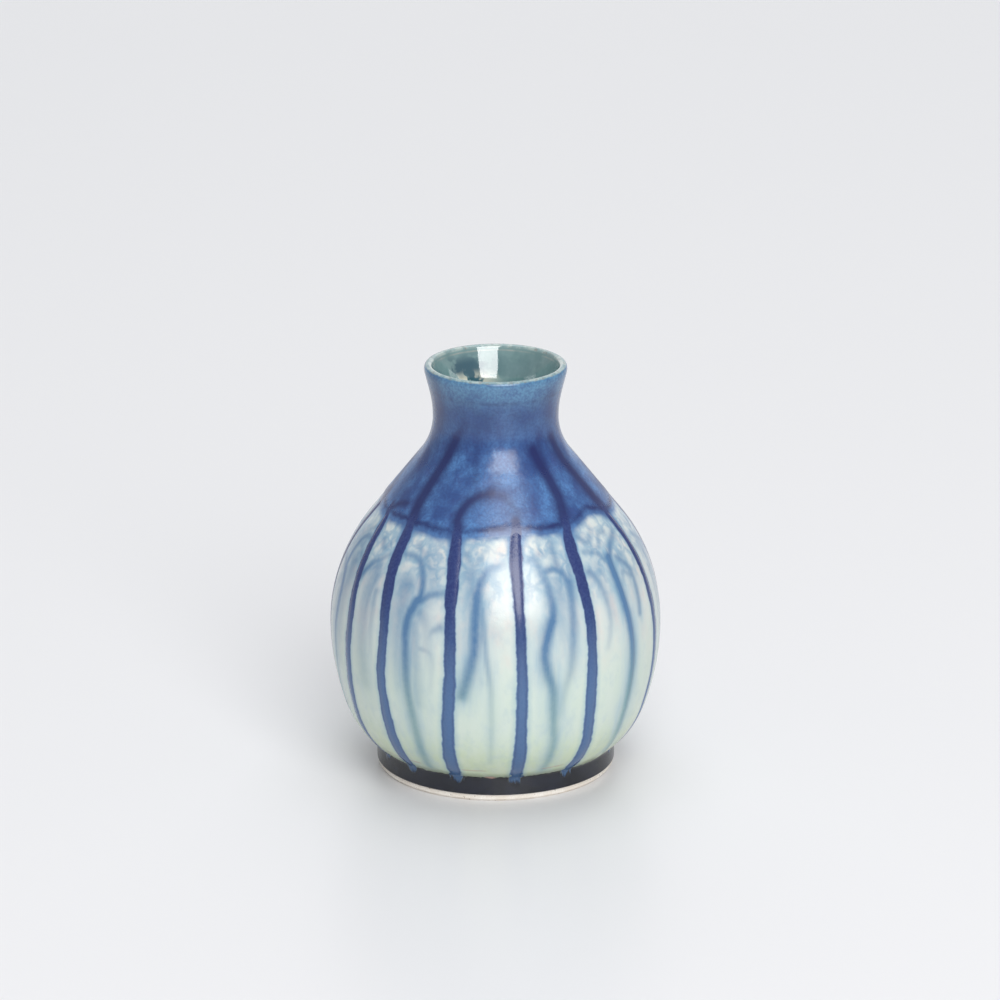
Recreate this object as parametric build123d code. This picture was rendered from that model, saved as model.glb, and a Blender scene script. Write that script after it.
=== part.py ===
from build123d import *

import os
from math import acos, atan2, cos, pi, radians, sin, sqrt, tan

# A small wheel-thrown bud vase: a round belly on a low trimmed foot, a long sloping shoulder,
# a narrow neck and a lightly flared lip. It is a one-piece clay pot carrying five coats of glaze.
# The celadon coat covers the whole outside, the blue collar coat lies over it from the shoulder up,
# and where the blue melted it ran down the belly in thick beads, each of which is a solid here.
# Millimetres, +Z up, origin at the middle of the foot on the surface it stands on.
# Azimuth is measured in degrees from the front, which is -Y, towards +X.

# --- Overall shape, measured on the glazed outside ---
height = 125.0
belly_radius = 49.4
belly_height = 45.0
neck_radius = 18.4
neck_below_lip = 16.0
lip_radius = 21.1
lip_thickness = 2.4
foot_radius = 35.8
foot_wall_height = 7.6
foot_fillet = 1.5

# --- Clay ---
wall = 3.8
floor_thickness = 5.5
recess_depth = 3.0
foot_ring_width = 7.0
foot_ring_slope = 1.2
foot_bevel = 0.7

# --- Glaze coats ---
glaze_thickness = 0.4
collar_thickness = 0.25
collar_edge_height = 82.5
run_thickness = 0.6
bare_foot_height = 2.2
band_top_height = 8.4

# --- Shape factors of the outline, without dimension ---
shoulder_bend = 1.48      # steepest slope of the shoulder, over the slope of its chord
neck_share = 0.26         # the neck curve's share of the two curves that make the shoulder
haunch_start = 0.9        # slope where the belly tightens towards the foot, over its chord's
haunch_end = 2.6          # slope where the haunch meets the foot, over its chord's
flare_share = 0.8         # how much of the way from neck to lip is curved
cutter_margin = 10.0      # how far cutting solids reach beyond the belly

# --- Runs of blue glaze, each listed from the top down as stations of ---
# (height in hundredths of the neck's height, azimuth in degrees, width of the bead)
front_runs = [
    [(79, -70.0, 1.2), (75, -67.5, 2.6), (70, -65.4, 3.4), (60.5, -63.5, 3.1), (49.5, -61.4, 3.3),
     (38.5, -62.2, 3.4), (25.5, -63.3, 3.3), (13, -64.0, 3.6), (6.5, -64.5, 3.8)],
    [(95.5, -40.0, 1.2), (88, -46.0, 1.4), (81, -47.6, 1.8), (73.5, -46.2, 4.2), (66, -45.4, 4.3),
     (57, -43.2, 3.7), (47.5, -42.0, 3.2), (36.5, -43.4, 3.4), (24, -42.7, 4.0), (13, -42.4, 4.3),
     (6.6, -43.5, 4.2)],
    [(83.5, -16.0, 1.2), (81, -19.0, 1.6), (77, -20.3, 2.4), (72.5, -17.9, 3.9), (65, -17.0, 3.8),
     (56, -16.4, 3.2), (47, -15.5, 3.4), (37.5, -15.8, 3.6), (25.5, -17.2, 3.8), (13, -18.4, 4.1),
     (6.1, -18.7, 4.0)],
    [(86, 10.0, 1.2), (81, 12.0, 1.8), (77, 10.5, 3.0), (71.5, 8.6, 4.2), (64, 8.5, 3.7),
     (55, 8.6, 2.9), (46, 8.9, 3.1), (35, 9.2, 3.3), (22, 9.1, 3.5), (12, 9.4, 3.9),
     (5.7, 9.2, 3.8)],
    [(92.5, 35.5, 1.2), (86, 39.0, 1.5), (81, 40.5, 1.8), (76, 37.2, 3.0), (70.5, 34.8, 4.4),
     (63, 35.3, 3.4), (53, 35.4, 3.2), (42, 35.0, 3.4), (31, 35.0, 3.6), (21, 36.0, 3.8),
     (13, 37.2, 3.8), (6.2, 35.4, 3.9)],
    [(69, 53.0, 2.0), (64, 52.4, 2.8), (55, 53.3, 3.0), (46, 54.5, 3.0), (36.5, 55.0, 3.1),
     (27.5, 54.3, 3.1), (18.5, 53.8, 3.1), (8.3, 54.0, 3.2)],
    [(95.5, 60.0, 1.2), (90, 64.5, 1.3), (84.5, 68.5, 1.6), (79, 70.5, 2.0), (73.5, 72.4, 3.2),
     (64, 73.0, 3.0), (53, 72.8, 3.3), (42, 73.2, 3.4), (31, 73.6, 3.4), (18.5, 72.5, 3.5),
     (6.8, 72.2, 3.6)],
]
# The runs round the back repeat those courses: (front run, azimuth it is turned to, mirrored).
back_runs = [(1, 97.0, True), (3, 122.0, True), (2, 146.0, False), (4, 171.0, True),
             (0, 196.0, True), (5, 221.0, False), (2, 246.0, True), (3, 271.0, False)]

# --- Places that follow from the sizes above ---
neck_height = height - neck_below_lip
crest_radius = lip_thickness / 2
crest_centre = Vector(lip_radius - crest_radius, 0, height - crest_radius)
throat_radius = neck_radius - wall


def arc_point(centre, radius, angle):
    """The point of a circle in the section plane, at an angle in radians above horizontal."""
    return Vector(centre.X + radius * cos(angle), 0, centre.Z + radius * sin(angle))


def shoulder_curves():
    """Belly and neck curves and the slope of the straight line that is tangent to both."""
    across = belly_radius - neck_radius
    up = neck_height - belly_height
    slope = shoulder_bend * atan2(across, up)
    both = (up - across / tan(slope)) / (sin(slope) - (1 - cos(slope)) / tan(slope))
    return (1 - neck_share) * both, neck_share * both, slope


def haunch_curves():
    """Lower belly and haunch curves, and the slopes at which each of them ends."""
    across = belly_radius - foot_radius
    up = belly_height - foot_wall_height
    chord = atan2(across, up)
    start, end = haunch_start * chord, haunch_end * chord
    a, b = 1 - cos(start), cos(start) - cos(end)
    c, d = sin(start), sin(end) - sin(start)
    lower = (across * d - up * b) / (a * d - b * c)
    haunch = (a * up - c * across) / (a * d - b * c)
    return lower, haunch, start, end


upper_arc, neck_arc, shoulder_slope = shoulder_curves()
lower_arc, haunch_arc, haunch_slope, foot_slope = haunch_curves()

upper_centre = Vector(belly_radius - upper_arc, 0, belly_height)
lower_centre = Vector(belly_radius - lower_arc, 0, belly_height)
haunch_centre = arc_point(lower_centre, lower_arc - haunch_arc, -haunch_slope)
neck_centre = Vector(neck_radius + neck_arc, 0, neck_height)
fillet_reach = foot_radius + foot_fillet - haunch_centre.X
fillet_slope = acos(fillet_reach / (haunch_arc + foot_fillet))
fillet_centre = arc_point(haunch_centre, haunch_arc + foot_fillet, -fillet_slope)
cavity_floor = recess_depth + floor_thickness + glaze_thickness
inner_reach = lower_arc - wall
inner_rise = belly_height - inner_reach * sin(haunch_slope) - cavity_floor
inner_haunch_arc = inner_rise / (1 - sin(haunch_slope))
inner_haunch_centre = arc_point(lower_centre, inner_reach - inner_haunch_arc, -haunch_slope)


def flare(start_radius, crest_side):
    """Flare curve from the neck up to the crest: its centre, radius and end slope.

    crest_side is +1 for the outside of the lip and -1 for its inside."""
    across = crest_centre.X - start_radius
    up = crest_centre.Z - neck_height
    side = crest_side * crest_radius
    radius = flare_share * (across**2 + up**2 - side**2) / (2 * (across + side))
    centre = Vector(start_radius + radius, 0, neck_height)
    apart = centre - crest_centre
    slope = acos((radius + side) / apart.length) + atan2(apart.Z, apart.X)
    return centre, radius, -slope


outer_flare_centre, outer_flare_arc, outer_flare_slope = flare(neck_radius, 1)
inner_flare_centre, inner_flare_arc, inner_flare_slope = flare(throat_radius, -1)


def arc(centre, radius, start, end):
    """An arc in the section plane, from one angle to another."""
    middle = (start + end) / 2
    return ThreePointArc(*(arc_point(centre, radius, angle) for angle in (start, middle, end)))


def joined(curves):
    """The curves with a straight line put across each gap between one and the next."""
    edges = [curves[0]]
    for curve in curves[1:]:
        if (curve @ 0 - edges[-1] @ 1).length > 1e-6:
            edges.append(Line(edges[-1] @ 1, curve @ 0))
        edges.append(curve)
    return edges


def outside(inset):
    """The outside, from the foot to the top of the lip, this far inside the glazed surface."""
    foot_line = Line(Vector(foot_radius - inset, 0, foot_bevel),
                     Vector(foot_radius - inset, 0, fillet_centre.Z))
    return joined([
        foot_line,
        arc(fillet_centre, foot_fillet + inset, pi, pi - fillet_slope),
        arc(haunch_centre, haunch_arc - inset, -fillet_slope, -haunch_slope),
        arc(lower_centre, lower_arc - inset, -haunch_slope, 0),
        arc(upper_centre, upper_arc - inset, 0, shoulder_slope),
        arc(neck_centre, neck_arc + inset, pi + shoulder_slope, pi),
        arc(outer_flare_centre, outer_flare_arc + inset, pi, pi - outer_flare_slope),
        arc(crest_centre, crest_radius - inset, -outer_flare_slope, pi / 2),
    ])


def inside(outset):
    """The inside, from the top of the lip to the axis, this far outside the glazed surface."""
    floor_height = cavity_floor - outset
    return joined([
        arc(crest_centre, crest_radius - outset, pi / 2, pi - inner_flare_slope),
        arc(inner_flare_centre, inner_flare_arc - outset, pi - inner_flare_slope, pi),
        arc(neck_centre, neck_arc + wall - outset, pi, pi + shoulder_slope),
        arc(upper_centre, upper_arc - wall + outset, shoulder_slope, 0),
        arc(lower_centre, inner_reach + outset, 0, -haunch_slope),
        arc(inner_haunch_centre, inner_haunch_arc + outset, -haunch_slope, -pi / 2),
        Line(Vector(inner_haunch_centre.X, 0, floor_height), Vector(0, 0, floor_height)),
    ])


def turned(edges):
    """The solid that a closed outline in the section plane sweeps round the axis."""
    return revolve(make_face(edges), axis=Axis.Z)


def loop_between(curves, others):
    """A closed outline that runs out along curves and back along others."""
    return [*curves, *others, Line(curves[0] @ 0, others[0] @ 0), Line(curves[-1] @ 1, others[-1] @ 1)]


def layer(low, high):
    """A disc wider than the pot, between two heights."""
    on_its_base = (Align.CENTER, Align.CENTER, Align.MIN)
    return Pos(0, 0, low) * Cylinder(belly_radius + cutter_margin, high - low, align=on_its_base)


def surface_radius(level):
    """Radius of the glazed outside at a height between the foot and the neck."""
    if level < fillet_centre.Z:
        return foot_radius
    if level < haunch_centre.Z - haunch_arc * sin(fillet_slope):
        return fillet_centre.X - sqrt(foot_fillet**2 - (level - fillet_centre.Z) ** 2)
    if level < haunch_centre.Z - haunch_arc * sin(haunch_slope):
        return haunch_centre.X + sqrt(haunch_arc**2 - (level - haunch_centre.Z) ** 2)
    if level < belly_height:
        return lower_centre.X + sqrt(lower_arc**2 - (level - belly_height) ** 2)
    line_start = arc_point(upper_centre, upper_arc, shoulder_slope)
    if level < line_start.Z:
        return upper_centre.X + sqrt(upper_arc**2 - (level - belly_height) ** 2)
    if level < neck_height - neck_arc * sin(shoulder_slope):
        return line_start.X - (level - line_start.Z) * tan(shoulder_slope)
    return neck_centre.X - sqrt(neck_arc**2 - (min(level, neck_height) - neck_height) ** 2)


def clay_body():
    """The thrown and trimmed pot: bare clay, with a recess turned under its foot."""
    edges = [*outside(glaze_thickness), *inside(glaze_thickness)]
    ring_outer = foot_radius - glaze_thickness - foot_bevel
    ring_inner = foot_radius - foot_ring_width
    underside = Polyline(
        edges[-1] @ 1,
        Vector(0, 0, recess_depth),
        Vector(ring_inner - foot_ring_slope, 0, recess_depth),
        Vector(ring_inner, 0, 0),
        Vector(ring_outer, 0, 0),
        edges[0] @ 0,
    )
    return turned([*edges, *underside.edges()])


def outside_coat():
    """The whole outside between the clay and the glazed surface, foot to lip."""
    return turned(loop_between(outside(0), outside(glaze_thickness)))


def liner_coat():
    """The coat that waterproofs the inside, from the top of the lip to the floor."""
    return turned(loop_between(inside(0), inside(glaze_thickness)))


def run_stations(course, turn, mirrored):
    """A run's stations with its course moved round the pot, and mirrored if asked."""
    side = -1 if mirrored else 1
    middle = course[len(course) // 2][1]
    return [(share, turn + side * (azimuth - middle), width) for share, azimuth, width in course]


def run_prism(stations):
    """The run's outline as seen square on, pushed out from the axis through the surface."""
    middle = stations[len(stations) // 2][1]
    left, right = [], []
    for share, azimuth, width in stations:
        level = share / 100 * neck_height
        centre = surface_radius(level) * sin(radians(azimuth - middle))
        left.append(Vector(centre - width / 2, 0, level))
        right.append(Vector(centre + width / 2, 0, level))
    above = (left[0] + right[0]) / 2 + Vector(0, 0, stations[0][2] / 2)
    below = (left[-1] + right[-1]) / 2 - Vector(0, 0, stations[-1][2] / 2)
    outline = [
        Spline(*left),
        ThreePointArc(left[-1], below, right[-1]),
        Spline(*reversed(right)),
        ThreePointArc(right[0], above, left[0]),
    ]
    bar = extrude(make_face(outline), amount=belly_radius + cutter_margin, dir=(0, -1, 0))
    return Rot(0, 0, middle) * bar


def proud_coat(thickness):
    """A coat this thick lying over the glazed surface, foot to lip."""
    return turned(loop_between(outside(0), outside(-thickness)))


def glaze_runs():
    """Every run of blue glaze, in order round the pot from the front's left side."""
    courses = list(front_runs)
    for which, azimuth, mirrored in back_runs:
        courses.append(run_stations(front_runs[which], azimuth, mirrored))
    bead = proud_coat(run_thickness)
    return [bead & run_prism(stations) for stations in courses]


def collar_coat(runs):
    """The blue coat over the shoulder and neck, stopping under the lip and beside each run."""
    collar = proud_coat(collar_thickness) & layer(collar_edge_height, crest_centre.Z)
    for run in runs:
        collar -= run
    return collar


def save(name, shape):
    """Writes one node's STEP, and says what is in it."""
    shape.label = name
    export_step(shape, f"parts/{name}.step")
    print(f"{name}: {len(shape.solids())} solid, {shape.volume:.1f} mm3")


os.makedirs("parts", exist_ok=True)
outer = outside_coat()
runs = glaze_runs()
save("clay_body", clay_body())
save("liner_glaze", liner_coat())
save("celadon_glaze", outer & layer(band_top_height, height + 1))
save("foot_band_glaze", outer & layer(bare_foot_height, band_top_height))
save("blue_collar_glaze", collar_coat(runs))
for number, run in enumerate(runs, 1):
    save(f"glaze_run_{number:02d}", run)
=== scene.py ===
import math

import bpy
import numpy as np
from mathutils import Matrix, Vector


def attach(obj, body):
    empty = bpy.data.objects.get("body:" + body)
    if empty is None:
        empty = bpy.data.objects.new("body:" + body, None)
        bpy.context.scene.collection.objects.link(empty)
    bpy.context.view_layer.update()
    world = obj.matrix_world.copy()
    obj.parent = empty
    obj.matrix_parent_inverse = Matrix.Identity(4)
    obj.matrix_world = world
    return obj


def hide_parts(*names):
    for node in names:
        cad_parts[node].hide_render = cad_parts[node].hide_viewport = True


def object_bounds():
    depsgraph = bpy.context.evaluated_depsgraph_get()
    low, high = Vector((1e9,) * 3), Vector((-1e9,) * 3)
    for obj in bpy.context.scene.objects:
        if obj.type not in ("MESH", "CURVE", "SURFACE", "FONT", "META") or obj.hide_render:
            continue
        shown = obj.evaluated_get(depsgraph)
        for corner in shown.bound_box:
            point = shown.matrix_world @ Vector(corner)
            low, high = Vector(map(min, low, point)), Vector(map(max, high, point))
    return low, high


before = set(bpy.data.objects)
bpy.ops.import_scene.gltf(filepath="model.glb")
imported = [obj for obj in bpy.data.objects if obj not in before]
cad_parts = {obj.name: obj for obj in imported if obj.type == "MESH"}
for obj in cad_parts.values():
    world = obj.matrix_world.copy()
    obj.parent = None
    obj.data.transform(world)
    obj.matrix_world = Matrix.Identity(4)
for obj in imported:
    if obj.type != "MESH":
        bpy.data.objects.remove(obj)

cad_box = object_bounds()

# ---------------------------------------------------------------------------------------------
# The stand and the light. The vase stands on a plain pale floor, seen from the front and a little
# above with a long lens. One large window of soft light stands to the right behind the viewer, and
# pale surroundings fill the shadows.

MM = 0.001
vase_height = cad_box[1].z
view_pitch = math.radians(18.16)
view_distance = 11.91 * vase_height
view_aim = Vector((0.00128, 0, 0.659 * vase_height))
away = Vector((0, -math.cos(view_pitch), math.sin(view_pitch)))
bpy.ops.object.camera_add(location=view_aim + away * view_distance,
                          rotation=(math.pi / 2 - view_pitch, 0, 0))
camera = bpy.context.object
camera.data.lens = 180
camera.data.clip_end = 20
bpy.context.scene.camera = camera
bpy.context.scene.view_settings.view_transform = "Standard"

bpy.ops.mesh.primitive_circle_add(vertices=96, radius=6, fill_type="NGON")
floor = bpy.context.object
floor.name = "floor"
floor_paint = bpy.data.materials.new("pale_floor")
floor_paint.use_nodes = True
floor_shader = floor_paint.node_tree.nodes["Principled BSDF"]
floor_shader.inputs["Base Color"].default_value = (0.79, 0.79, 0.805, 1)
floor_shader.inputs["Roughness"].default_value = 0.35
floor.data.materials.append(floor_paint)


def softbox(name, azimuth, elevation, distance, width, tall, power, colour):
    """A panel of soft light that faces the vase; azimuth is from the front, towards +X."""
    flat = math.cos(elevation)
    out = Vector((math.sin(azimuth) * flat, -math.cos(azimuth) * flat, math.sin(elevation)))
    place = out * distance + Vector((0, 0, vase_height / 2))
    bpy.ops.object.light_add(type="AREA", location=place)
    lamp = bpy.context.object
    lamp.name = name
    lamp.rotation_euler = out.to_track_quat("Z", "Y").to_euler()
    lamp.data.shape = "RECTANGLE"
    lamp.data.size, lamp.data.size_y = width, tall
    lamp.data.energy = power
    lamp.data.color = colour


softbox("window", math.radians(15.5), math.radians(38), 2.6, 1.65, 2.0, 53, (1.0, 0.99, 0.98))
softbox("back_wall", math.radians(180), math.radians(14), 2.6, 3.4, 3.4, 22, (0.98, 0.99, 1.0))
softbox("ceiling", math.radians(170), math.radians(75), 3.0, 2.5, 2.5, 26, (0.96, 0.98, 1.0))

surroundings = bpy.data.worlds.new("pale_room")
surroundings.use_nodes = True
background = surroundings.node_tree.nodes["Background"]
background.inputs["Color"].default_value = (0.93, 0.94, 0.96, 1)
background.inputs["Strength"].default_value = 0.41
bpy.context.scene.world = surroundings

# ---------------------------------------------------------------------------------------------
# The shape that the potter threw, as one line in section: a low foot, a tight haunch, a full
# belly, a long straight shoulder, a narrow neck and a flared lip. Each stretch is an arc or a
# straight line that runs smoothly into the next. Millimetres, on the glazed surface.

belly_radius = 49.4
belly_height = 45.0
neck_radius = 18.4
neck_height = 109.0
lip_height = 125.0
lip_radius = 21.1
crest_radius = 1.2
foot_radius = 35.8
foot_wall_height = 7.6
foot_fillet = 1.5
wall = 3.8
cavity_floor = 8.9


def between(curves, spacing, points=()):
    """Points along a chain of arcs, each (centre radius, centre height, radius, start, end)."""
    points = list(points)
    last = points[-1] if points else None
    for centre_r, centre_z, radius, start, end in curves:
        steps = max(6, round(abs(end - start) * radius / spacing))
        for angle in np.linspace(start, end, steps + 1):
            point = (centre_r + radius * math.cos(angle), centre_z + radius * math.sin(angle))
            gap = math.dist(point, last) if points else spacing
            for share in np.arange(1, math.ceil(gap / spacing)) / math.ceil(gap / spacing):
                points.append(tuple(np.array(last) * (1 - share) + np.array(point) * share))
            if gap > 1e-6:
                points.append(point)
            last = points[-1]
    return points


# The shoulder: belly and neck arcs that share one straight tangent.
across, up = belly_radius - neck_radius, neck_height - belly_height
shoulder_slope = 1.48 * math.atan2(across, up)
both_arcs = (up - across / math.tan(shoulder_slope)) / (
    math.sin(shoulder_slope) - (1 - math.cos(shoulder_slope)) / math.tan(shoulder_slope))
upper_arc, neck_arc = 0.74 * both_arcs, 0.26 * both_arcs

# The haunch: a wide arc below the belly, then a tighter one that meets the foot.
across, up = belly_radius - foot_radius, belly_height - foot_wall_height
chord = math.atan2(across, up)
haunch_slope, foot_slope = 0.9 * chord, 2.6 * chord
turn_in = np.array([[1 - math.cos(haunch_slope), math.cos(haunch_slope) - math.cos(foot_slope)],
                    [math.sin(haunch_slope), math.sin(foot_slope) - math.sin(haunch_slope)]])
lower_arc, haunch_arc = np.linalg.solve(turn_in, (across, up))
lower_r = belly_radius - lower_arc
haunch_r = lower_r + (lower_arc - haunch_arc) * math.cos(haunch_slope)
haunch_z = belly_height - (lower_arc - haunch_arc) * math.sin(haunch_slope)
fillet_slope = math.acos((foot_radius + foot_fillet - haunch_r) / (haunch_arc + foot_fillet))
fillet_z = haunch_z - (haunch_arc + foot_fillet) * math.sin(fillet_slope)

# The lip: a flare that runs straight into the round crest, outside and inside.
crest_r, crest_z = lip_radius - crest_radius, lip_height - crest_radius


def flare(start, side):
    """Radius and end slope of the flare that rises from the neck to the crest's side."""
    across, up = crest_r - start, crest_z - neck_height
    radius = 0.8 * (across**2 + up**2 - side**2) / (2 * (across + side))
    apart_r, apart_z = start + radius - crest_r, neck_height - crest_z
    slope = math.acos((radius + side) / math.hypot(apart_r, apart_z)) + math.atan2(apart_z, apart_r)
    return radius, -slope


def outside_line(spacing, lift=0.0):
    """The outside in section from the foot to the top of the lip, lifted off the glaze."""
    radius, slope = flare(neck_radius, crest_radius)
    return between([
        (foot_radius + foot_fillet, fillet_z, foot_fillet - lift, math.pi, math.pi - fillet_slope),
        (haunch_r, haunch_z, haunch_arc + lift, -fillet_slope, -haunch_slope),
        (lower_r, belly_height, lower_arc + lift, -haunch_slope, 0),
        (belly_radius - upper_arc, belly_height, upper_arc + lift, 0, shoulder_slope),
        (neck_radius + neck_arc, neck_height, neck_arc - lift, math.pi + shoulder_slope, math.pi),
        (neck_radius + radius, neck_height, radius - lift, math.pi, math.pi - slope),
        (crest_r, crest_z, crest_radius + lift, -slope, math.pi / 2),
    ], spacing, [(foot_radius + lift, 0)])


def inside_line(spacing, lift=0.0):
    """The inside in section from the top of the lip to the axis, lifted off the glaze."""
    throat = neck_radius - wall
    radius, slope = flare(throat, -crest_radius)
    reach = lower_arc - wall
    rise = belly_height - reach * math.sin(haunch_slope) - cavity_floor
    inner_arc = rise / (1 - math.sin(haunch_slope))
    inner_r = lower_r + (reach - inner_arc) * math.cos(haunch_slope)
    inner_z = cavity_floor + inner_arc
    line = between([
        (crest_r, crest_z, crest_radius + lift, math.pi / 2, math.pi - slope),
        (throat + radius, neck_height, radius + lift, math.pi - slope, math.pi),
        (neck_radius + neck_arc, neck_height, neck_arc + wall + lift, math.pi,
         math.pi + shoulder_slope),
        (belly_radius - upper_arc, belly_height, upper_arc - wall - lift, shoulder_slope, 0),
        (lower_r, belly_height, reach - lift, 0, -haunch_slope),
        (inner_r, inner_z, inner_arc - lift, -haunch_slope, -math.pi / 2),
    ], spacing)
    return line + [(0, cavity_floor + lift)]


glazed_line = np.array(outside_line(0.25))
glazed_length = np.concatenate([[0], np.cumsum(np.hypot(*np.diff(glazed_line, axis=0).T))])
glazed_slope = np.arctan2(np.gradient(glazed_line[:, 0]), np.gradient(glazed_line[:, 1]))


def along(height):
    """How far along the outside line a height lies."""
    return np.interp(height, glazed_line[:, 1], glazed_length)


def on_glaze(length, azimuth, lift):
    """The place, in metres, at a distance along the outside line, an azimuth and a lift."""
    slope = np.interp(length, glazed_length, glazed_slope)
    radius = np.interp(length, glazed_length, glazed_line[:, 0]) + lift * np.cos(slope)
    height = np.interp(length, glazed_length, glazed_line[:, 1]) - lift * np.sin(slope)
    turn = np.radians(azimuth)
    return np.stack([radius * np.sin(turn), -radius * np.cos(turn), height], axis=-1) * MM


# ---------------------------------------------------------------------------------------------
# Where the glazes lie. The blue coat was poured over the neck and shoulder and melted off its
# lower edge in long thick runs, with thin blue veins strung between them where it trickled
# through the pale coat. Places are (azimuth from the front in degrees, height in millimetres).

# The runs' middle lines, with the width of each: (height, azimuth, width), from the top down.
front_runs = [
    [(86, -70.0, 1.2), (82, -67.5, 2.6), (76, -65.4, 3.4), (66, -63.5, 3.1), (54, -61.4, 3.3),
     (42, -62.2, 3.4), (28, -63.3, 3.3), (14, -64.0, 3.6), (7.0, -64.5, 3.8)],
    [(104, -40.0, 1.2), (96, -46.0, 1.4), (88, -47.6, 1.8), (80, -46.2, 4.2), (72, -45.4, 4.3),
     (62, -43.2, 3.7), (52, -42.0, 3.2), (40, -43.4, 3.4), (26, -42.7, 4.0), (14, -42.4, 4.3),
     (7.2, -43.5, 4.2)],
    [(91, -16.0, 1.2), (88, -19.0, 1.6), (84, -20.3, 2.4), (79, -17.9, 3.9), (71, -17.0, 3.8),
     (61, -16.4, 3.2), (51, -15.5, 3.4), (41, -15.8, 3.6), (28, -17.2, 3.8), (14, -18.4, 4.1),
     (6.6, -18.7, 4.0)],
    [(94, 10.0, 1.2), (88, 12.0, 1.8), (84, 10.5, 3.0), (78, 8.6, 4.2), (70, 8.5, 3.7),
     (60, 8.6, 2.9), (50, 8.9, 3.1), (38, 9.2, 3.3), (24, 9.1, 3.5), (13, 9.4, 3.9),
     (6.2, 9.2, 3.8)],
    [(101, 35.5, 1.2), (94, 39.0, 1.5), (88, 40.5, 1.8), (83, 37.2, 3.0), (77, 34.8, 4.4),
     (69, 35.3, 3.4), (58, 35.4, 3.2), (46, 35.0, 3.4), (34, 35.0, 3.6), (23, 36.0, 3.8),
     (14, 37.2, 3.8), (6.8, 35.4, 3.9)],
    [(75, 53.0, 2.0), (70, 52.4, 2.8), (60, 53.3, 3.0), (50, 54.5, 3.0), (40, 55.0, 3.1),
     (30, 54.3, 3.1), (20, 53.8, 3.1), (9, 54.0, 3.2)],
    [(104, 60.0, 1.2), (98, 64.5, 1.3), (92, 68.5, 1.6), (86, 70.5, 2.0), (80, 72.4, 3.2),
     (70, 73.0, 3.0), (58, 72.8, 3.3), (46, 73.2, 3.4), (34, 73.6, 3.4), (20, 72.5, 3.5),
     (7.4, 72.2, 3.6)],
]
# The runs round the back take the same courses: (front run, azimuth turned to, mirrored).
back_runs = [(1, 97.0, -1), (3, 122.0, -1), (2, 146.0, 1), (4, 171.0, -1),
             (0, 196.0, -1), (5, 221.0, 1), (2, 246.0, -1), (3, 271.0, 1)]

run_courses = list(front_runs)
for which, turned_to, side in back_runs:
    course = front_runs[which]
    middle = course[len(course) // 2][1]
    run_courses.append([(z, turned_to + side * (azimuth - middle), w) for z, azimuth, w in course])

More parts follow.
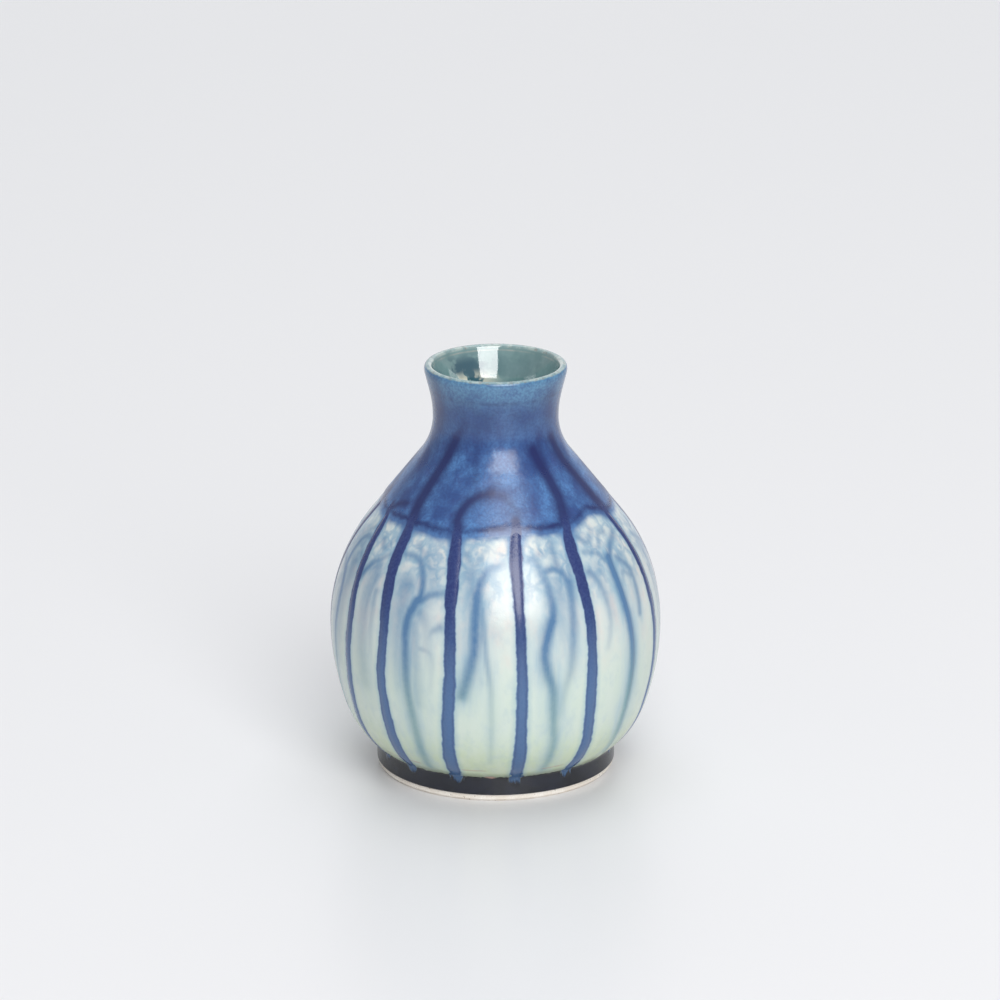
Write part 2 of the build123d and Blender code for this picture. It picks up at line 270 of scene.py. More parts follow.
# The veins between the runs: (strength at the start, at the end, width, [(azimuth, height), ...]),
# in each gap from left to right. A gap's veins are kept with the gap's own middle, so that the
# back can repeat them.
vein_gaps = {
    -72: [(0.5, 0.2, 2.2, [(-71, 74), (-71, 67), (-72, 58), (-72, 50)]),
          (0.7, 0.3, 2.2, [(-67, 70), (-71, 72), (-76, 74), (-80, 73)]),
          (0.4, 0.1, 6.0, [(-71, 70), (-72, 50)])],
    -53: [(0.5, 1.1, 2.3, [(-50, 74), (-54, 72), (-58, 70), (-62, 66)]),
          (0.7, 0.1, 2.6, [(-52, 68), (-53, 60), (-52.5, 52), (-52, 45), (-53, 34)]),
          (0.6, 0.1, 2.6, [(-50, 64), (-49, 54), (-48, 44)]),
          (0.7, 0.3, 2.0, [(-58, 77), (-55, 75), (-52, 77), (-50, 79)]),
          (0.6, 0.3, 6.5, [(-54, 70), (-54, 58), (-52, 36)])],
    -30: [(0.7, 1.2, 2.2, [(-42, 75.5), (-36, 75.5), (-32, 74), (-29.5, 70), (-29, 66),
                           (-30, 64.5)]),
          (1.25, 0.75, 2.7, [(-30, 64.5), (-32.5, 60), (-33, 55), (-32.5, 50), (-32, 40),
                            (-31.5, 35), (-30.8, 30), (-30, 20), (-30, 11)]),
          (0.6, 1.1, 2.4, [(-20, 67.5), (-25, 66.5), (-29, 64.5)]),
          (0.7, 0.2, 6.5, [(-36, 68), (-36.5, 56), (-35, 38)]),
          (0.5, 0.3, 5.0, [(-30, 58), (-28.5, 46), (-28, 34)]),
          (0.5, 0.2, 5.0, [(-31, 76), (-25, 70), (-27, 60)]),
          (0.5, 0.2, 2.4, [(-36, 78), (-31, 76), (-27, 73), (-24, 71), (-21, 73)]),
          (0.6, 0.1, 5.0, [(-28, 61), (-25, 57), (-23, 44)]),
          (0.6, 0.1, 2.6, [(-20, 58), (-24, 55), (-23, 46)]),
          (0.5, 0.1, 2.4, [(-27, 51), (-23.5, 50.5), (-22, 47), (-23, 38)])],
    -4: [(0.4, 1.2, 2.6, [(3, 75.5), (0, 75), (-3, 74), (-6, 71), (-7, 67)]),
         (1.15, 1.0, 3.0, [(-7, 68), (-7.2, 60), (-7.2, 53), (-8, 49), (-9.5, 44), (-11.5, 38)]),
         (0.3, 0.7, 4.5, [(-13, 75), (-9, 71), (-7, 66)]),
         (0.6, 0.3, 2.2, [(-13, 78), (-10, 75), (-6, 77)]),
         (0.7, 0.2, 2.0, [(-5, 64), (-3.5, 52), (-2, 43), (-1.5, 38), (-1.5, 25), (-2, 15)]),
         (0.6, 0.1, 5.0, [(-10, 73), (-9, 66), (-8, 56), (-5, 42)])],
    22: [(0.4, 1.2, 2.5, [(15, 77), (17, 76), (18.5, 73), (20.5, 69), (21.2, 63), (20.5, 60)]),
         (1.2, 1.1, 2.8, [(20.5, 60), (18.5, 56), (17, 51), (17.3, 47), (18.5, 43)]),
         (1.1, 0.65, 2.6, [(18.5, 43), (20, 39), (20.5, 33), (21, 28), (22, 20), (21, 11)]),
         (0.8, 1.0, 2.4, [(20.5, 73), (24, 73.5), (27, 72.5), (29.5, 69.5)]),
         (1.0, 0.2, 3.0, [(29.5, 69.5), (29, 64), (27.5, 52), (26.5, 45), (24.5, 39), (23, 30)]),
         (0.5, 0.8, 2.4, [(26, 80), (26, 73)]),
         (0.6, 0.3, 2.2, [(14, 76), (17, 77), (20, 78)]),
         (0.8, 0.3, 2.2, [(29, 69), (31, 72), (32, 76)]),
         (0.5, 0.1, 5.5, [(25, 70), (24.5, 60), (24, 50)])],
    55: [(0.5, 0.7, 2.0, [(41, 76), (45, 75.5), (48, 74.5), (51, 72)]),
         (0.8, 0.3, 2.0, [(41, 80), (45, 78), (48, 79), (51, 81)]),
         (0.8, 0.2, 2.4, [(40, 71), (43, 68), (44.5, 62), (44.5, 56), (42, 49)]),
         (0.8, 0.7, 2.3, [(58, 72), (63, 68), (63, 62), (61.5, 55)]),
         (0.7, 0.2, 2.2, [(62, 66), (58, 68), (56, 65)]),
         (0.6, 1.0, 2.1, [(66, 78), (61, 76.5), (57, 75), (53, 72)]),
         (0.3, 0.6, 1.8, [(45, 78), (50, 76), (54, 79), (59, 79)]),
         (1.35, 1.3, 2.6, [(53, 73), (52.4, 69), (53.3, 60), (54.5, 50), (55, 40)]),
         (1.3, 0.6, 2.6, [(55, 40), (54.3, 30), (53.8, 20), (54, 12)]),
         (0.35, 0.1, 5.0, [(45, 72), (46, 54)]),
         (0.35, 0.1, 4.5, [(61, 72), (62, 50)])],
}
# Gaps round the back: (front gap, azimuth its middle is turned to, mirrored).
back_gaps = [(-53, 85, -1), (-30, 110, -1), (22, 134, 1), (-4, 159, -1), (-30, 183, 1),
             (-53, 208, -1), (22, 236, -1), (-4, 259, 1), (-30, 283, -1)]
# Dark lines on the blue coat where one drip overlaps another, each laid out as a vein is, and one
# wide stroke of painted shade down the neck's left edge.
drip_and_shade_lines = [(1.1, 1.0, 3.2, [(-18.5, 83), (-20.5, 86), (-18, 89.5), (-13, 91.5), (-8, 92.5),
                               (-3, 93)]),
              (0.55, 0.55, 2.2, [(-3, 93), (3, 92.5), (8, 91), (12, 88), (13, 85), (12, 82)]),
              (0.9, 0.9, 2.4, [(-72, 82), (-68, 84), (-63, 86), (-57, 87)]),
              (1.2, 1.1, 4.0, [(-47, 83), (-48, 88), (-47, 93), (-45, 98), (-42, 102), (-38, 106)]),
              (1.0, 0.3, 3.6, [(-38, 106), (-33, 109), (-27, 111)]),
              (1.2, 1.1, 3.8, [(36.5, 83), (39, 87), (40.5, 91), (39, 96), (36.5, 100), (34, 103)]),
              (0.9, 0.2, 3.0, [(40, 99), (41, 104), (44, 109)]),
              (1.2, 1.1, 4.0, [(71, 83), (69, 88), (66.5, 93), (64, 98), (61.5, 102), (59, 105)]),
              # Painted shade: a wide, soft dark stroke down the left edge of the shoulder and neck,
              # not a drip.
              (0.45, 0.35, 9.0, [(-72, 88), (-68, 100), (-62, 112), (-60, 121)]),
              (0.3, 0.45, 6.0, [(60, 103), (57, 112), (54, 119)]),
              (0.5, 0.2, 3.0, [(-14, 96), (-17, 101), (-16, 107)]),
              (0.9, 0.9, 2.6, [(133, 85), (137, 90), (145, 92), (152, 95)]),
              (1.0, 1.0, 3.0, [(-141, 84), (-138, 90), (-133, 96), (-126, 101), (-118, 105)]),
              (0.9, 0.9, 2.8, [(97, 84), (98, 90), (101, 97), (108, 103)]),
              (0.9, 0.9, 2.8, [(170, 84), (167, 90), (169, 97), (174, 102)]),
              (0.9, 0.9, 2.4, [(-164, 84), (-158, 88), (-150, 89)]),
              (0.9, 0.9, 2.8, [(-114, 84), (-112, 90), (-107, 94), (-100, 95)]),
              (0.8, 0.8, 2.6, [(-90, 84), (-92, 90), (-95, 96)])]

veins = list(drip_and_shade_lines)
for strokes in vein_gaps.values():
    veins.extend(strokes)
for which, turned_to, side in back_gaps:
    for start, end, width, route in vein_gaps[which]:
        veins.append((start, end, width, [(turned_to + side * (a - which), z) for a, z in route]))


def wrapped(azimuth):
    """An angle in degrees brought to within half a turn."""
    return (azimuth + 180) % 360 - 180


def smoothed_course(course, step=0.5, reach=5.0):
    """Heights, azimuths and widths of a run at even steps, with its corners rounded."""
    stations = np.array(course[::-1])
    heights = np.arange(stations[0, 0], stations[-1, 0] + step, step)
    ends = round(reach / step)
    window = np.ones(ends * 2 + 1) / (ends * 2 + 1)
    columns = [heights]
    for column in (1, 2):
        values = np.interp(heights, stations[:, 0], stations[:, column])
        first = 2 * values[0] - values[1:ends + 1][::-1]
        last = 2 * values[-1] - values[-ends - 1:-1][::-1]
        columns.append(np.convolve(np.concatenate([first, values, last]), window, "valid"))
    return columns


def rounded_route(route):
    """A vein's points with three more between each pair, on a smooth curve through them all."""
    points = np.array([route[0], *route, route[-1]], dtype=float)
    made = []
    for p0, p1, p2, p3 in zip(points, points[1:], points[2:], points[3:]):
        for t in (0, 0.25, 0.5, 0.75):
            made.append(0.5 * (2 * p1 + (p2 - p0) * t + (2 * p0 - 5 * p1 + 4 * p2 - p3) * t**2
                               + (3 * p1 - p0 - 3 * p2 + p3) * t**3))
    return np.array(made + [points[-1]])


# A run that starts on the shoulder is thick enough to be dark to its edges. One that starts lower
# is thin, and only a vein laid along it colours it. The thin run in front has such a vein, and its
# copy round the back has none yet, so that one stays as pale as the coat.
thick_run_start = 80
far_from_runs = 50.0
thread_spread, halo_spread = 0.62, 1.6

smooth_courses = [smoothed_course(course) for course in run_courses]
thick_courses = [course for course in smooth_courses if course[0][-1] > thick_run_start]
smooth_veins = [(start, end, width, rounded_route(route)) for start, end, width, route in veins]


def run_distance(azimuth, height, radius):
    """Millimetres from the nearest run's edge, negative inside the run."""
    nearest = np.full(len(height), far_from_runs)
    for heights, azimuths, widths in thick_courses:
        sideways = radius * np.radians(wrapped(azimuth - np.interp(height, heights, azimuths)))
        beyond = np.maximum(0, np.maximum(height - heights[-1], heights[0] - height))
        half = np.interp(height, heights, widths) / 2
        nearest = np.minimum(nearest, np.hypot(sideways, beyond) - half)
    return nearest


def vein_field(azimuth, height, radius):
    """How strong the veins are at each place: the thread itself, and the haze round it."""
    depth = np.zeros(len(height))
    halo = np.zeros(len(height))
    lengthwise = along(height)
    for start, end, width, route in smooth_veins:
        middle = (route[:, 0].max() + route[:, 0].min()) / 2
        span = (route[:, 0].max() - route[:, 0].min()) / 2 + 14
        near = np.flatnonzero((np.abs(wrapped(azimuth - middle)) < span)
                              & (height < route[:, 1].max() + 9) & (height > route[:, 1].min() - 9))
        if not len(near):
            continue
        x = radius[near] * np.radians(wrapped(azimuth[near] - middle))
        y = lengthwise[near]
        for step, ((a0, z0), (a1, z1)) in enumerate(zip(route, route[1:])):
            x0 = radius[near] * math.radians(a0 - middle)
            x1 = radius[near] * math.radians(a1 - middle)
            y0, y1 = along(z0), along(z1)
            length2 = (x1 - x0) ** 2 + (y1 - y0) ** 2 + 1e-9
            t = np.clip(((x - x0) * (x1 - x0) + (y - y0) * (y1 - y0)) / length2, 0, 1)
            apart2 = (x - x0 - t * (x1 - x0)) ** 2 + (y - y0 - t * (y1 - y0)) ** 2
            strength = start + (end - start) * (step + t) / (len(route) - 1)
            reach = width * (0.6 + 0.4 * np.minimum(strength, 1))
            thread = strength * np.exp(-apart2 / (thread_spread * reach) ** 2)
            haze = strength * np.exp(-apart2 / (halo_spread * reach) ** 2)
            depth[near] = np.maximum(depth[near], thread)
            halo[near] = np.maximum(halo[near], haze)
    return depth, halo


def collar_edge(azimuth):
    """Height of the blue coat's lower edge: a shallow scallop from one run to the next."""
    turn = np.radians(azimuth)
    return (82.3 + 0.5 * np.sin(3 * turn + 0.4) + 0.35 * np.sin(7 * turn + 1.0)
            + 1.9 * np.exp(-(wrapped(azimuth - 57) / 9) ** 2)
            + 1.2 * np.exp(-(wrapped(azimuth + 150) / 10) ** 2))


def mark_glazes(piece):
    """Stores on each point of a piece how it lies to the runs, the veins and the blue coat."""
    mesh = piece.data
    places = np.empty(len(mesh.vertices) * 3)
    mesh.vertices.foreach_get("co", places)
    x, y, height = places.reshape(-1, 3).T / MM
    radius = np.hypot(x, y)
    azimuth = np.degrees(np.arctan2(x, -y))
    depth, halo = vein_field(azimuth, height, radius)
    fields = {"run": run_distance(azimuth, height, radius), "vein": depth, "halo": halo,
              "collar": height - collar_edge(azimuth)}
    for name, values in fields.items():
        attribute = mesh.attributes.new(name, "FLOAT", "POINT")
        attribute.data.foreach_set("value", values.astype(np.float32))


# ---------------------------------------------------------------------------------------------
# How the melted glazes look. All of the outside is one fused glass: cream and pale blue under
# the shoulder, celadon green lower down, cobalt where the blue coat lies, and indigo where it
# is thickest, in the runs and along the coat's lower edge.


class Surface:
    """A value on a material's surface. Sums on it add Math nodes; node() adds any other node."""

    def __init__(self, tree, socket=None):
        self.tree = tree
        self.socket = socket

    def node(self, kind, settings=(), inputs=(), output=0):
        """A new node of a kind, with its settings made first and then its inputs fed."""
        made = self.tree.nodes.new("ShaderNode" + kind)
        for name, value in dict(settings).items():
            setattr(made, name, value)
        for name, value in dict(inputs).items():
            if isinstance(value, Surface):
                self.tree.links.new(value.socket, made.inputs[name])
            else:
                made.inputs[name].default_value = value
        return Surface(self.tree, made.outputs[output])

    def sum(self, operation, *values):
        return self.node("Math", {"operation": operation}, enumerate(values))

    def __add__(self, other):
        return self.sum("ADD", self, other)

    def __sub__(self, other):
        return self.sum("SUBTRACT", self, other)

    def __rsub__(self, other):
        return self.sum("SUBTRACT", other, self)

    def __mul__(self, other):
        return self.sum("MULTIPLY", self, other)

    def __neg__(self):
        return self.sum("MULTIPLY", self, -1)

    __radd__ = __add__
    __rmul__ = __mul__

    def least(self, other):
        return self.sum("MINIMUM", self, other)

    def most(self, other):
        return self.sum("MAXIMUM", self, other)

    def melted_with(self, other, reach):
        """The smaller of two distances, filleted where they meet."""
        return self.sum("SMOOTH_MIN", self, other, reach)

    def rises(self, low, high):
        """0 below low, 1 above high and an S-curve between; falls if low is the larger."""
        steps = {"Value": self, "From Min": low, "From Max": high}
        return self.node("MapRange", {"interpolation_type": "SMOOTHSTEP"}, steps)

    def peak(self, middle, half_width):
        """1 at the middle, 0 half a width away on either side."""
        return (self - middle).sum("ABSOLUTE", self - middle).rises(half_width, 0)

    def colour(self, low, high):
        """A colour that goes from low to high as this value goes from 0 to 1."""
        low = low if isinstance(low, Surface) else (*low, 1)
        high = high if isinstance(high, Surface) else (*high, 1)
        settings = {"data_type": "RGBA", "clamp_factor": True}
        return self.node("Mix", settings, {0: self, 6: low, 7: high}, output=2)


def new_material(name):
    """A material's Surface, its shader node, and the place on the piece in millimetres."""
    material = bpy.data.materials.new(name)
    material.use_nodes = True
    surface = Surface(material.node_tree)
    shader = material.node_tree.nodes["Principled BSDF"]
    metres = surface.node("TexCoord", output=3)
    place = surface.node("VectorMath", {"operation": "SCALE"}, {0: metres, 3: 1 / MM})
    return material, surface, shader, place


def mottle(place, size, detail=3.0, stretch=(1, 1, 1), contrast=(0.3, 0.7)):
    """Cloudy variation from 0 to 1 with blotches of a given size in millimetres."""
    drawn = place.node("VectorMath", {"operation": "MULTIPLY"}, {0: place, 1: stretch})
    cloud = place.node("TexNoise", {}, {"Vector": drawn, "Scale": 1 / size, "Detail": detail,
                                        "Roughness": 0.55})
    return cloud.rises(*contrast)


def feed(surface, shader, name, value):
    """Links a value to one of the shader's inputs."""
    surface.tree.links.new(value.socket, shader.inputs[name])


def srgb(red, green, blue):
    """A colour as it looks, given in 0 to 255, as the light it reflects."""
    shares = [value / 255 for value in (red, green, blue)]
    return tuple(s / 12.92 if s <= 0.04045 else ((s + 0.055) / 1.055) ** 2.4 for s in shares)


def rim_glaze(place):
    """The thin glaze over the crest of the lip: pale grey-green, burnt brown in flecks."""
    patches = mottle(place, 3.0, 3, contrast=(0.4, 0.6))
    flecks = mottle(place, 1.6, 2, contrast=(0.55, 0.66))
    pale = patches.colour(srgb(166, 184, 180), srgb(126, 156, 158))
    return (flecks * 0.5).colour(pale, srgb(128, 116, 108))


def melted_glaze(name):
    """The fused glazes of the outside, coloured by the distances stored on the piece."""
    material, surface, shader, place = new_material(name)
    height = surface.node("SeparateXYZ", {}, {0: place}, output=2)
    run, vein, halo, collar = (
        surface.node("Attribute", {"attribute_name": field}, output=2)
        for field in ("run", "vein", "halo", "collar"))
    fine = mottle(place, 0.75, 2)
    wobble = mottle(place, 1.6, 3, contrast=(0, 1)) - 0.5
    ripple = mottle(place, 5.0, 2, contrast=(0, 1)) - 0.5
    strand = mottle(place, 1.5, 2, stretch=(1, 1, 0.2), contrast=(0, 1)) - 0.5
    fringe = height.rises(11, 7)
    run_edge = run + wobble * 0.3 + ripple * 0.8 + strand * fringe * 3.0 + fringe * 0.3
    coat_edge = collar + ripple * 1.2 + wobble * 0.4

    # The pale coat: cream, marbled with pink and pale blue above, celadon below.
    high = height.rises(34, 66)
    upper = height.rises(56, 76)
    low = height.rises(28, 12)
    streak = mottle(place, 2.6, 3, stretch=(1, 1, 0.12))
    marble = mottle(place, 4.5, 3, stretch=(1, 1, 0.6), contrast=(0.45, 0.75))
    marble_blue = mottle(place, 3.6, 4, stretch=(1, 1, 0.7), contrast=(0.46, 0.74))
    pale = high.colour(srgb(206, 221, 209), srgb(214, 220, 217))
    pale = low.colour(pale, srgb(202, 217, 184))
    pale = (streak * 0.3).colour(pale, srgb(216, 226, 220))
    pale = (marble * high * 0.5).colour(pale, srgb(228, 208, 200))
    pale = (marble_blue * (0.2 + upper * 0.5)).colour(pale, srgb(152, 182, 202))

    # A fine net of blue threads just below the blue coat.
    bend = place.node("TexNoise", {}, {"Vector": place, "Scale": 0.3, "Detail": 2.0}, output=1)
    bent = place.node("VectorMath", {"operation": "MULTIPLY_ADD"},
                      {0: bend, 1: (5.0, 5.0, 5.0), 2: place})
    stretched = bent.node("VectorMath", {"operation": "MULTIPLY"}, {0: bent, 1: (1, 1, 0.75)})
    cells = place.node("TexVoronoi", {"feature": "DISTANCE_TO_EDGE"},
                       {"Vector": stretched, "Scale": 0.24})
    net = cells.rises(0.3, 0.0) * height.rises(60, 74) * mottle(place, 7.0, 2, contrast=(0.2, 0.6))
    pale = (net * 0.7).colour(pale, srgb(122, 160, 188))

    # Halos and veins.
    pale = (halo * (0.35 + streak * 0.5)).colour(pale, srgb(148, 182, 200))
    bleed = run_edge.rises(2.0, 0) * 0.4
    pale = bleed.colour(pale, srgb(138, 178, 194))
    vein_tint = height.rises(26, 56).colour(srgb(112, 150, 158), srgb(82, 122, 162))
    thread = (vein + wobble * vein * 0.25) * 0.92
    pale = thread.colour(pale, vein_tint)

    # The blue coat: cobalt, finely mottled, lighter towards the lip.
    broad = mottle(place, 8.0, 4, stretch=(1, 1, 0.6), contrast=(0.35, 0.65))
    purple = mottle(place, 6.0, 3, contrast=(0.5, 0.75))
    cloud = mottle(place, 3.2, 3, contrast=(0.42, 0.6))
    blue = broad.colour(srgb(46, 80, 138), srgb(82, 132, 190))
    blue = (purple * 0.25).colour(blue, srgb(78, 84, 146))
    blue = (height.rises(101, 113) * 0.6).colour(blue, srgb(39, 67, 111))
    blue = (height.rises(113, 124) * 0.88).colour(blue, srgb(98, 148, 182))
    blue = (cloud * 0.3).colour(blue, srgb(44, 74, 132))
    blue = (fine * 0.4).colour(blue, srgb(34, 54, 108))
    ring = height.peak(118.2, 1.0) * (0.2 + cloud * 0.35)
    blue = ring.colour(blue, srgb(48, 72, 114))
    drip_line = run_edge.rises(1.0, -0.8) * coat_edge.rises(0, 2) * coat_edge.rises(6, 3)
    # The coat darkens along the drip lines, and also along the painted shade stroke down the neck's
    # left edge.
    dark = drip_line.most(vein.least(1) * coat_edge.rises(0, 1.5))
    roll = coat_edge.peak(1.5, 1.3) * (0.55 + mottle(place, 9, 2) * 0.4)
    blue = (dark.most(roll) * 0.92).colour(blue, srgb(18, 29, 88))

    # The runs: indigo at the shoulder, cobalt lower down, with a darker line along each edge.
    run_blue = height.rises(34, 70).colour(srgb(66, 102, 148), srgb(34, 50, 108))
    run_blue = (run_edge.peak(-0.4, 0.6) * 0.35).colour(run_blue, srgb(40, 54, 102))
    run_blue = (fine * 0.12).colour(run_blue, srgb(96, 124, 172))
    run_blue = (fringe * 0.4).colour(run_blue, srgb(48, 88, 124))

    # Blue fades into pale over a few millimetres at the coat's edge, and sharply at a run's.
    near_coat = coat_edge.rises(-9, -1)
    blue_edge = run_edge.melted_with(-coat_edge - 0.3, 3.0)
    softness = 0.5 + near_coat * 1.3
    washed = blue_edge.rises(softness, -0.35)
    fresh = coat_edge.rises(-3.5, 1.6).colour(srgb(104, 142, 182), blue)
    colour = washed.colour(pale, fresh)
    on_coat = coat_edge.rises(0, 5)
    on_run = run_edge.rises(0.3, -0.3) * (1 - on_coat)
    colour = on_run.colour(colour, run_blue)

    # The thinly glazed edge of the lip, and the near-black band above the foot.
    rim = (height + wobble * 0.4).rises(124.4, 124.8)
    colour = (rim * 0.9).colour(colour, rim_glaze(place))
    band_top = height + ripple * 0.7 + wobble * 0.7
    run_end = on_run * (height + strand * 5.0).rises(5.2, 7.2)
    band = band_top.rises(8.3, 7.7) * (1 - run_end * 0.9)
    grey = band_top.rises(10.4, 8.4) * 0.4
    colour = (grey * (1 - on_run)).colour(colour, srgb(140, 148, 132))
    iron = (height + ripple * 0.8).peak(11.2, 0.45) * mottle(place, 9, 2, contrast=(0.46, 0.58))
    colour = (iron * 0.45 * (1 - on_run)).colour(colour, srgb(178, 132, 118))
    colour = band.colour(colour, mottle(place, 5.0).colour(srgb(4, 8, 22), srgb(20, 25, 42)))
    scar = place.node("VectorMath", {"operation": "DISTANCE"}, {0: place, 1: (-1.6, -36.3, 8.0)},
                      output=1)
    burnt = (scar + strand * 1.5).rises(2.0, 0.9) * (height + wobble).peak(8.0, 0.7)
    colour = (burnt * 0.8).colour(colour, srgb(196, 156, 144))
    feed(surface, shader, "Base Color", colour)

    satin = on_coat * height.rises(99, 94) * 0.12
    feed(surface, shader, "Roughness", 0.2 + satin + fine * 0.05)
    shader.inputs["IOR"].default_value = 1.62
    relief = mottle(place, 2.4, 2, contrast=(0, 1)) * 0.05 + fine * 0.012
    bump = surface.node("Bump", {}, {"Height": relief * MM, "Strength": 0.6, "Distance": 1.0})
    feed(surface, shader, "Normal", bump)
    return material


# ---------------------------------------------------------------------------------------------
# The celadon coat, fused to the clay from the foot band to the top of the lip, and the
# near-black band below it, which stops short of the bare ring that the vase stands on.

turn_steps = 400
point_spacing = 0.85
back_spacing = 6
coat_depth = 0.3
crease_angle = math.radians(50)
band_low, band_high = 2.2, 8.4


def lone(piece):
    """Makes this the only selected object, and the active one."""
    bpy.ops.object.select_all(action="DESELECT")
    piece.select_set(True)
    bpy.context.view_layer.objects.active = piece


def turned(name, loop):
    """A closed outline of (radius, height) points, turned round the axis into a solid coat."""
    mesh = bpy.data.meshes.new(name)
    count = len(loop)
    mesh.from_pydata([(r * MM, 0, z * MM) for r, z in loop],
                     [(i, (i + 1) % count) for i in range(count)], [])
    piece = bpy.data.objects.new(name, mesh)
    bpy.context.collection.objects.link(piece)
    lone(piece)
    turning = piece.modifiers.new("turning", "SCREW")
    turning.axis = "Z"
    turning.steps = turning.render_steps = turn_steps
    turning.use_merge_vertices = True
    turning.merge_threshold = 0.01 * MM
    bpy.ops.object.modifier_apply(modifier=turning.name)
    bpy.ops.object.mode_set(mode="EDIT")
    bpy.ops.mesh.select_all(action="SELECT")
    bpy.ops.mesh.normals_make_consistent(inside=False)
    bpy.ops.object.mode_set(mode="OBJECT")
    bpy.ops.object.shade_smooth_by_angle(angle=crease_angle)
    return piece


def band_of(line, low, high):
    """The part of a line between two heights, cut to end exactly at them."""
    radii, heights = np.array(line).T
    inner = [point for point in line if low + 0.1 < point[1] < high - 0.05]
    return [(np.interp(low, heights, radii), low), *inner, (np.interp(high, heights, radii), high)]


def coat(name, low, high, lift=0.0):
    """A coat over the outside between two heights, with its back just inside its face."""
    face = band_of(outside_line(point_spacing, lift), low, high)
    back = band_of(outside_line(back_spacing, -coat_depth), low, min(high, lip_height - coat_depth))
    return turned(name, face + back[::-1])


def finished(piece, material, slot, *nodes):
    """Gives a piece its glaze, hangs it on the root body and hides the solids that it replaces."""
    piece.data.materials.clear()
    piece.data.materials.append(material)
    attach(piece, "root")
    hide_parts(*nodes)


celadon = coat("celadon_coat", band_high, lip_height)
mark_glazes(celadon)
finished(celadon, melted_glaze("celadon_glaze"), "celadon_glaze", "celadon_glaze")

foot_band = coat("foot_band", band_low, band_high)
mark_glazes(foot_band)
finished(foot_band, melted_glaze("foot_band_glaze"), "black_slip", "foot_band_glaze")

# ---------------------------------------------------------------------------------------------
# The blue collar: the second coat, poured over the neck and shoulder. It is thickest in a roll
# along its lower edge, where it stopped in shallow scallops, and thins out to nothing below.

collar_thickness = 0.24
collar_low, collar_high = 82.5, 123.8
collar_overhang = 0.6
roll_height, roll_middle, roll_width = 0.05, 2.2, 1.1
fade_from, fade_over = 122.6, 1.2

collar = coat("blue_collar", collar_low, collar_high, collar_thickness)
places = np.empty(len(collar.data.vertices) * 3)
collar.data.vertices.foreach_get("co", places)
x, y, height = places.reshape(-1, 3).T / MM
azimuth = np.degrees(np.arctan2(x, -y))
length = along(height)
slope = np.interp(length, glazed_length, glazed_slope)
lift = (np.hypot(x, y) - np.interp(length, glazed_length, glazed_line[:, 0])) * np.cos(slope)
share = (along(collar_high) - length) / (along(collar_high) - along(collar_low))
collar_end = along(collar_edge(azimuth) - collar_overhang)
length = along(collar_high) - share * (along(collar_high) - collar_end)
above = length - collar_end
taper = 1 - np.exp(-above / 0.9)
roll = roll_height * np.exp(-((above - roll_middle) / roll_width) ** 2)
end = 1 - np.clip((height - fade_from) / fade_over, 0, 1) ** 2
lift = np.where(lift > 0, (collar_thickness * taper + roll) * end - 0.02, -coat_depth * 0.8)
collar.data.vertices.foreach_set("co", on_glaze(length, azimuth, lift).ravel())
collar.data.update()
mark_glazes(collar)
finished(collar, melted_glaze("blue_collar_glaze"), "cobalt_glaze", "blue_collar_glaze")

# ---------------------------------------------------------------------------------------------
# The runs: beads of blue glaze that flowed off the collar and froze on the way down. Each one
# is domed, melts into the coat at its sides, and ends in a rounded drop on the foot band.

bead_height = 0.16
bead_columns = 14
bead_step = 0.8
bead_depth = 0.2
bead_top = 91            # where a bead has sunk into the collar
bead_under_collar = 0.12
bead_edge_sunk = 0.03


def run_bead(name, course):
    """A domed strip that follows a run's course over the coat."""
    heights, azimuths, widths = course
    low, high = along(heights[0]), along(min(heights[-1], bead_top))
    start, end = low - widths[0] / 2, high + widths[-1] / 2
    bpy.ops.mesh.primitive_grid_add(size=2, x_subdivisions=bead_columns,
                                    y_subdivisions=round((end - start) / bead_step))
    piece = bpy.context.object
    piece.name = name
    places = np.empty(len(piece.data.vertices) * 3)
    piece.data.vertices.foreach_get("co", places)
    sideways, lengthwise, _ = places.reshape(-1, 3).T
    length = start + (lengthwise + 1) / 2 * (end - start)
    height = np.interp(length, glazed_length, glazed_line[:, 1])
    half = np.interp(height, heights, widths) / 2
    beyond = np.clip(np.maximum(low - length, length - high) / half, 0, 1)
    half = half * np.sqrt(1 - beyond**2)
    radius = np.interp(length, glazed_length, glazed_line[:, 0])
    azimuth = np.interp(height, heights, azimuths) + np.degrees(sideways * half / radius)
    on_collar = np.clip((height - collar_edge(azimuth) - 1) / 5, 0, 1)
    top = bead_height * (1 - on_collar) + (collar_thickness - bead_under_collar) * on_collar
    dome = (1 - sideways**2) ** 1.5 * (1 - beyond**2)
    lift = top * dome - bead_edge_sunk * (1 - dome)
    piece.data.vertices.foreach_set("co", on_glaze(length, azimuth, lift).ravel())
    piece.data.update()
    lone(piece)
    thicken = piece.modifiers.new("thickness", "SOLIDIFY")
    thicken.thickness = bead_depth * MM
    thicken.offset = -1
    bpy.ops.object.modifier_apply(modifier=thicken.name)
    bpy.ops.object.mode_set(mode="EDIT")
    bpy.ops.mesh.select_all(action="SELECT")
    bpy.ops.mesh.remove_doubles(threshold=0.02 * MM)
    bpy.ops.mesh.normals_make_consistent(inside=False)
    bpy.ops.object.mode_set(mode="OBJECT")
    bpy.ops.object.shade_smooth_by_angle(angle=crease_angle)
    return piece


run_material = melted_glaze("run_glaze")
for number, course in enumerate(smooth_courses, 1):
    bead = run_bead(f"run_bead_{number:02d}", course)
    mark_glazes(bead)
    finished(bead, run_material, "run_glaze", f"glaze_run_{number:02d}")

# ---------------------------------------------------------------------------------------------
# The liner: the glaze swirled round the inside to make it hold water. It is grey-green, with
# dark teal pools where the blue ran over the lip and cream spots where it pulled away.


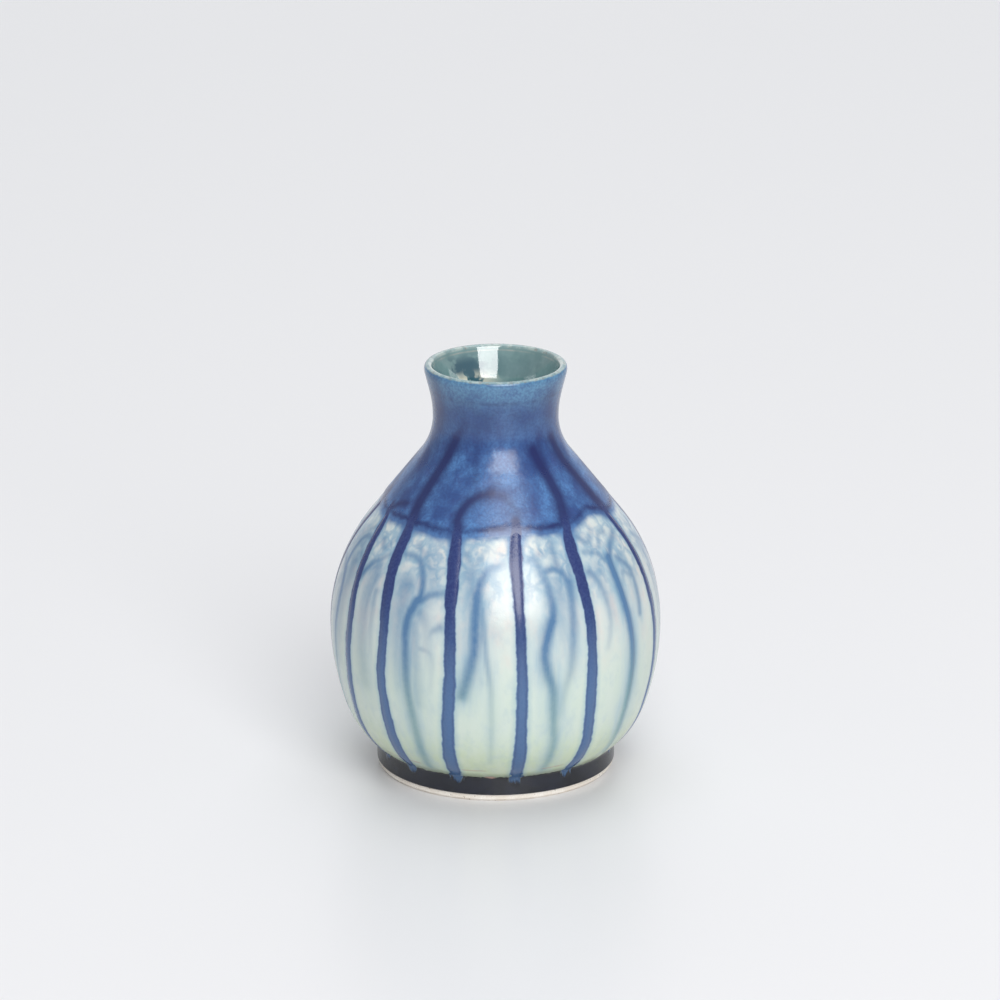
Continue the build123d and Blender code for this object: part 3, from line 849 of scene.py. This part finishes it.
def liner_glaze():
    """The wet-looking glass of the inside, pooled and spotted on its left side."""
    material, surface, shader, place = new_material("liner_glaze")
    height = surface.node("SeparateXYZ", {}, {0: place}, output=2)
    across = surface.node("SeparateXYZ", {}, {0: place}, output=0)
    left = across.rises(4, -8)
    pools = mottle(place, 6.0, 3, contrast=(0.42, 0.54)) * height.rises(124.5, 120)
    spots = mottle(place, 4.5, 2, contrast=(0.48, 0.53)) * height.rises(119, 115)
    colour = mottle(place, 5.0).colour(srgb(104, 140, 142), srgb(122, 154, 156))
    colour = (pools * (0.2 + left * 0.7)).colour(colour, srgb(28, 80, 100))
    colour = (spots * left).colour(colour, srgb(236, 234, 214))
    line = height.peak(123.5, 0.4) * mottle(place, 5.0, 2)
    colour = (line * 0.6).colour(colour, srgb(176, 176, 168))
    colour = height.rises(123.9, 124.5).colour(colour, rim_glaze(place))
    feed(surface, shader, "Base Color", colour)
    feed(surface, shader, "Roughness", 0.06 + mottle(place, 0.6, 2, contrast=(0.6, 0.75)) * 0.06)
    shader.inputs["IOR"].default_value = 1.75
    shader.inputs["Coat Weight"].default_value = 0.8
    shader.inputs["Coat IOR"].default_value = 1.65
    relief = mottle(place, 3.0, 2, contrast=(0, 1)) * 0.04
    bump = surface.node("Bump", {}, {"Height": relief * MM, "Strength": 0.6, "Distance": 1.0})
    feed(surface, shader, "Normal", bump)
    return material


liner_spacing, liner_back_spacing = 1.6, 8

face = inside_line(liner_spacing)
back = inside_line(liner_back_spacing, -coat_depth)
liner = turned("liner", face + back[::-1])
finished(liner, liner_glaze(), "liner_glaze", "liner_glaze")

# ---------------------------------------------------------------------------------------------
# The clay itself, fired stoneware the colour of cream. It shows only where the glaze was wiped
# off: the ring that the vase stands on and the recess turned under it.


def fired_clay():
    """Cream stoneware with a fine grain and a few iron specks."""
    material, surface, shader, place = new_material("fired_clay")
    grain = mottle(place, 0.35, 3, contrast=(0.35, 0.65))
    specks = mottle(place, 0.8, 1, contrast=(0.7, 0.74))
    colour = mottle(place, 6.0).colour(srgb(238, 230, 219), srgb(250, 246, 239))
    colour = (grain * 0.25).colour(colour, srgb(206, 190, 168))
    colour = (specks * 0.6).colour(colour, srgb(120, 92, 66))
    feed(surface, shader, "Base Color", colour)
    feed(surface, shader, "Roughness", 0.62 + grain * 0.2)
    relief = grain * 0.02
    bump = surface.node("Bump", {}, {"Height": relief * MM, "Strength": 0.8, "Distance": 1.0})
    feed(surface, shader, "Normal", bump)
    return material


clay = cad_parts["clay_body"]
clay.data.materials.clear()
clay.data.materials.append(fired_clay())
